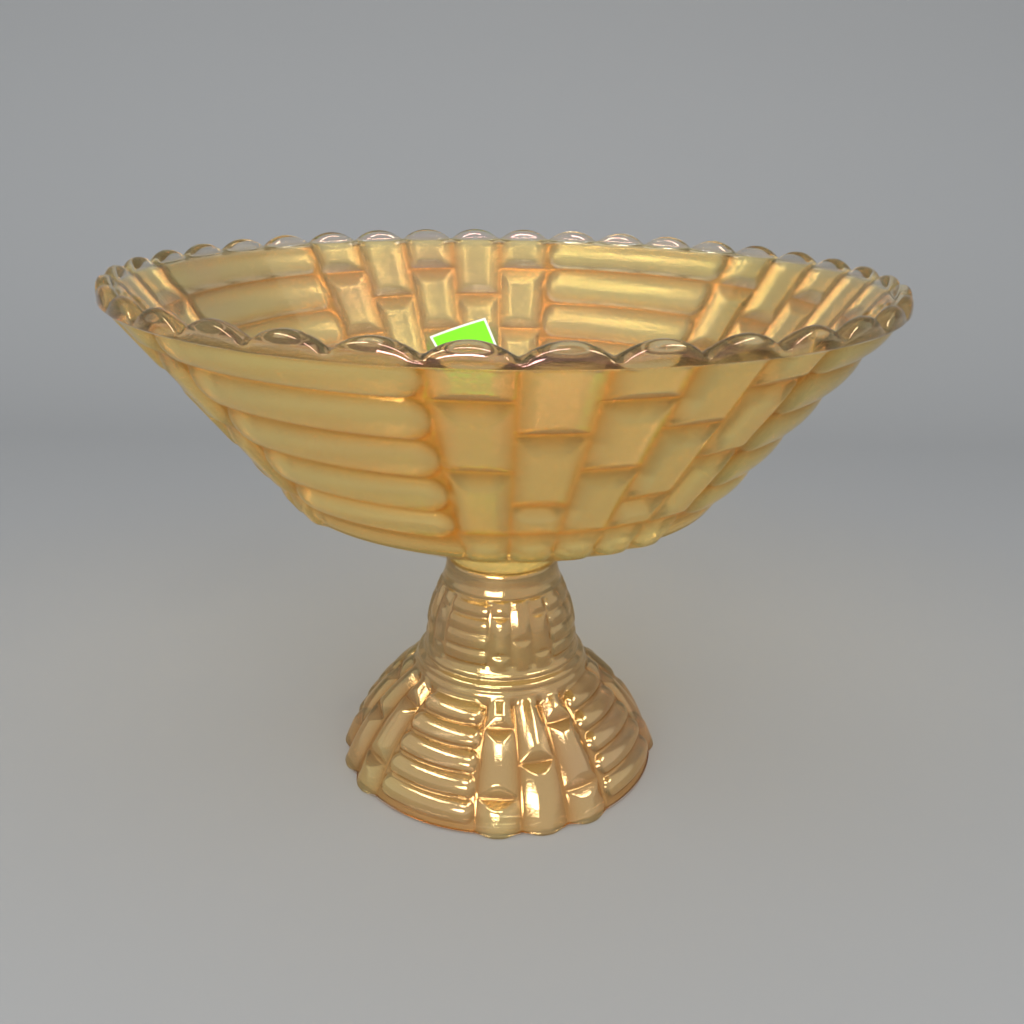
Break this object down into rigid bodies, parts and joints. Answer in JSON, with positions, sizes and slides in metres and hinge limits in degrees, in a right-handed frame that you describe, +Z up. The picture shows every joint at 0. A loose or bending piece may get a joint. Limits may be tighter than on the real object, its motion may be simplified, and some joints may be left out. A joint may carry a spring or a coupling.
{
  "type": "footed glass bowl",
  "caption": "Two-piece pressed-glass fruit bowl: a scalloped basket-work bowl lifts out of a hollow flared stand; marigold lustre finish.",
  "frame": {"origin": "middle of the foot, on the surface the stand rests on", "axes": "+Z up along the common axis of the bowl and the stand; a group of upright reeds faces -Y, +X, +Y and -X"},
  "size_m": [0.2608, 0.2608, 0.1872],
  "materials": {
    "champagne_glass": "pale gold lustre over clear pressed glass, satin outside",
    "marigold_glass": "amber lustre over clear pressed glass, stretch-satin outside and glossy inside",
    "sticker_paper": "bright green matt label paper with a white edge"
  },
  "bodies": {
    "stand": {"stand": "champagne_glass"},
    "bowl": {"bowl": "marigold_glass", "price_sticker": "sticker_paper"}
  },
  "joints": [
    {"name": "bowl_lift", "type": "slide", "parent": "stand", "child": "bowl", "axis": [0, 0, 1], "range_m": [0, 0.08]}
  ]
}
